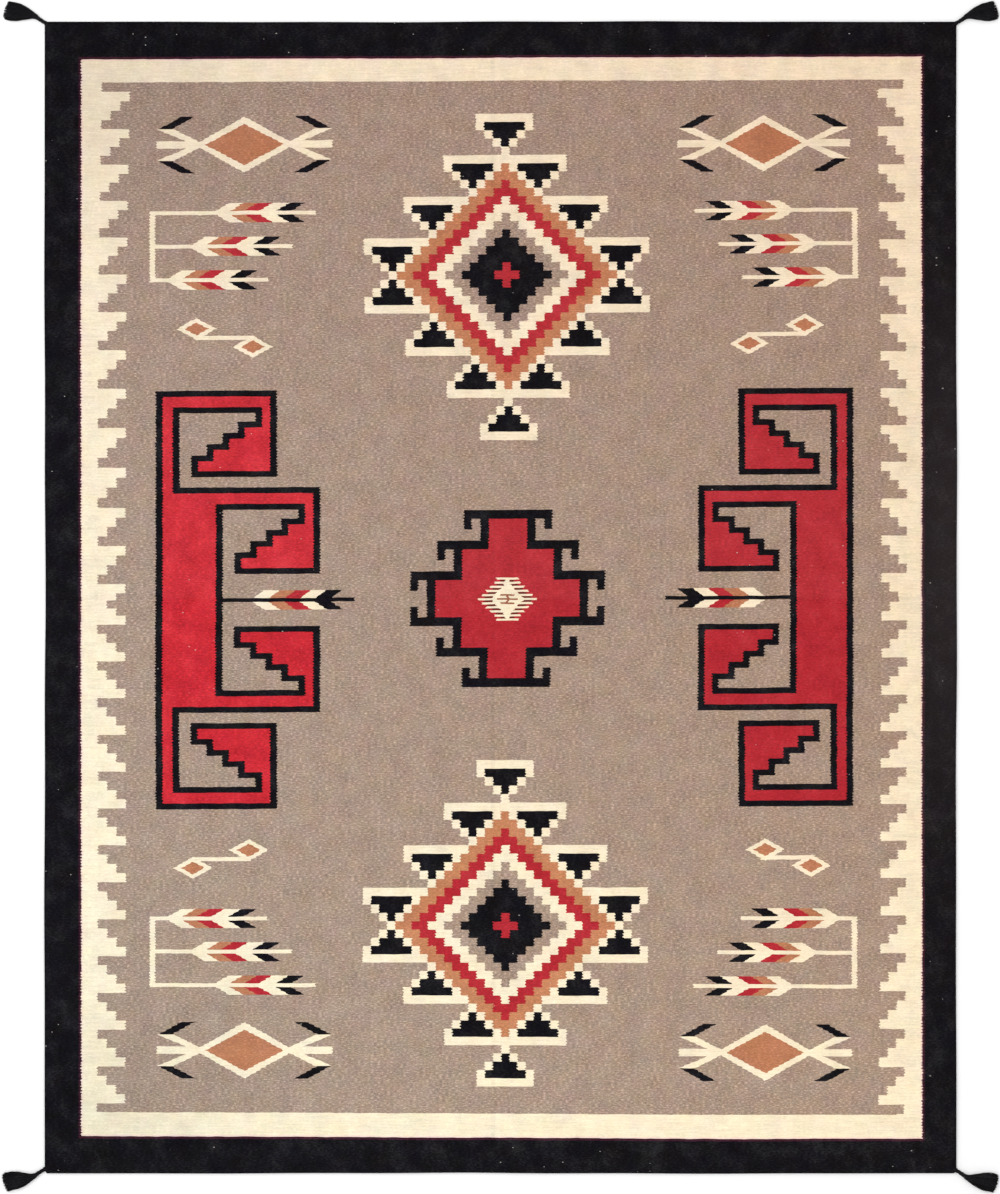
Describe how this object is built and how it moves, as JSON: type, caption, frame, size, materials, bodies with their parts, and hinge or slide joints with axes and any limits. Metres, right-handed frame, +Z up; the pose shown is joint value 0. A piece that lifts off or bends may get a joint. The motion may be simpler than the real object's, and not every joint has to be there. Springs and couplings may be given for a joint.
{
  "type": "wool area rug",
  "caption": "Flat rectangular tapestry-woven wool rug with bordered stepped pattern and a yarn tassel at each corner.",
  "frame": {"origin": "on the floor, under the middle of the rug", "axes": "+X across the rug's width, +Y along its length, +Z up, away from the floor"},
  "size_m": [2.6684, 3.1889, 0.01],
  "materials": {
    "woven_wool": "matte weft-faced wool",
    "black_yarn": "matte wool yarn"
  },
  "bodies": {
    "root": {"rug": "woven_wool", "tassel_left_far": "black_yarn", "tassel_right_far": "black_yarn", "tassel_left_near": "black_yarn", "tassel_right_near": "black_yarn"}
  },
  "joints": []
}
